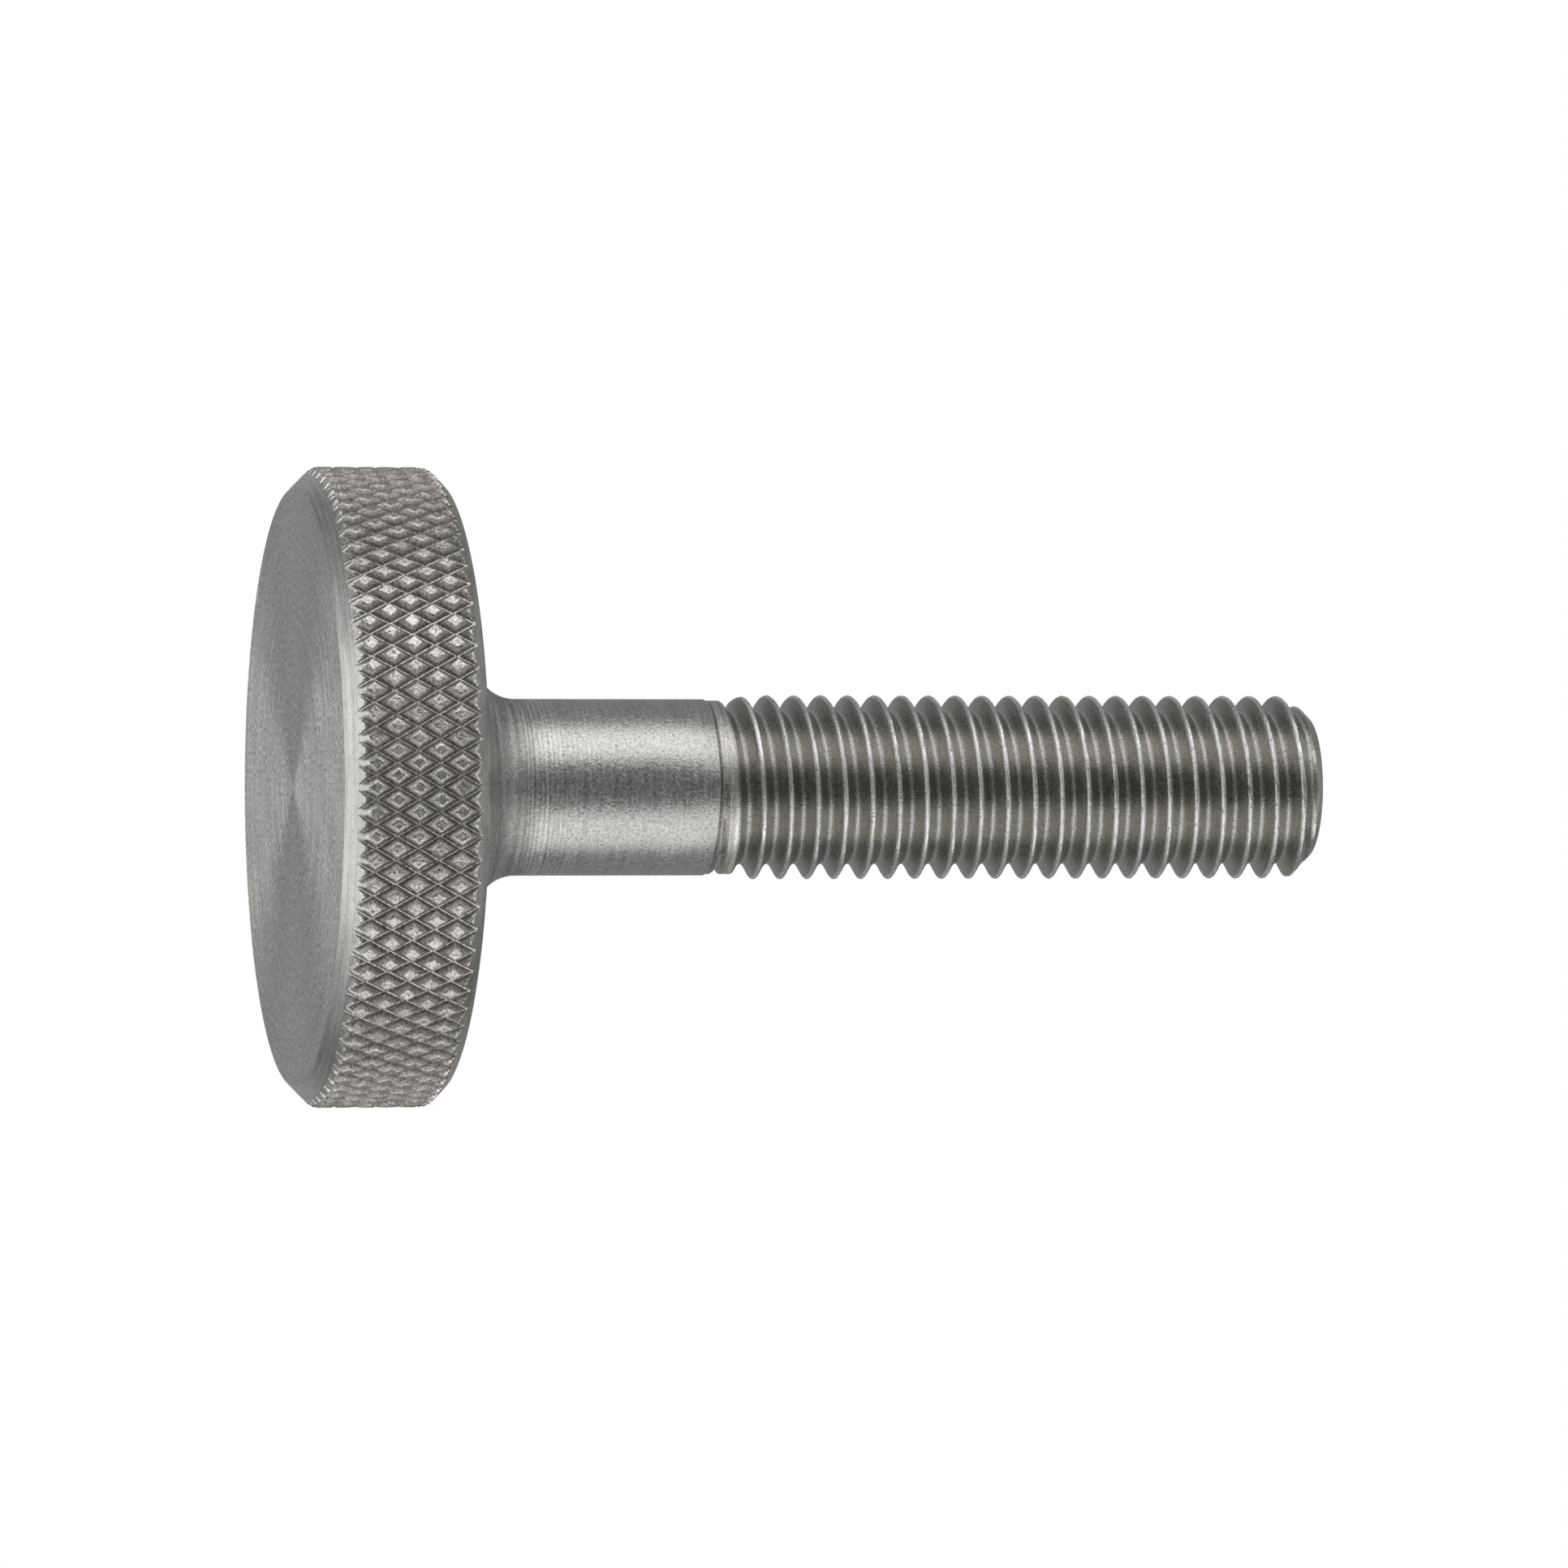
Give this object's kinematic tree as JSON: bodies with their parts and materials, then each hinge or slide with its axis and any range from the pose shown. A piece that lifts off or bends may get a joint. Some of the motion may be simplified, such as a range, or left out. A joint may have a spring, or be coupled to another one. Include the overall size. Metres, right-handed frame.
{
  "type": "knurled thumb screw",
  "caption": "Metric thumb screw with a thin diamond-knurled disc head, a low tapered hub, a plain shank and a right-hand thread with a chamfered point.",
  "frame": {"origin": "centre of the head's flat face, where the axis of the screw meets the surface that it stands on", "axes": "+Z along the axis of the screw, from the head to the point; X and Y square to it"},
  "size_m": [0.0344, 0.0344, 0.0562],
  "materials": {
    "stainless_steel": "turned stainless steel with fine circular tool lines, not polished"
  },
  "bodies": {
    "root": {"thumb_screw": "stainless_steel"}
  },
  "joints": []
}
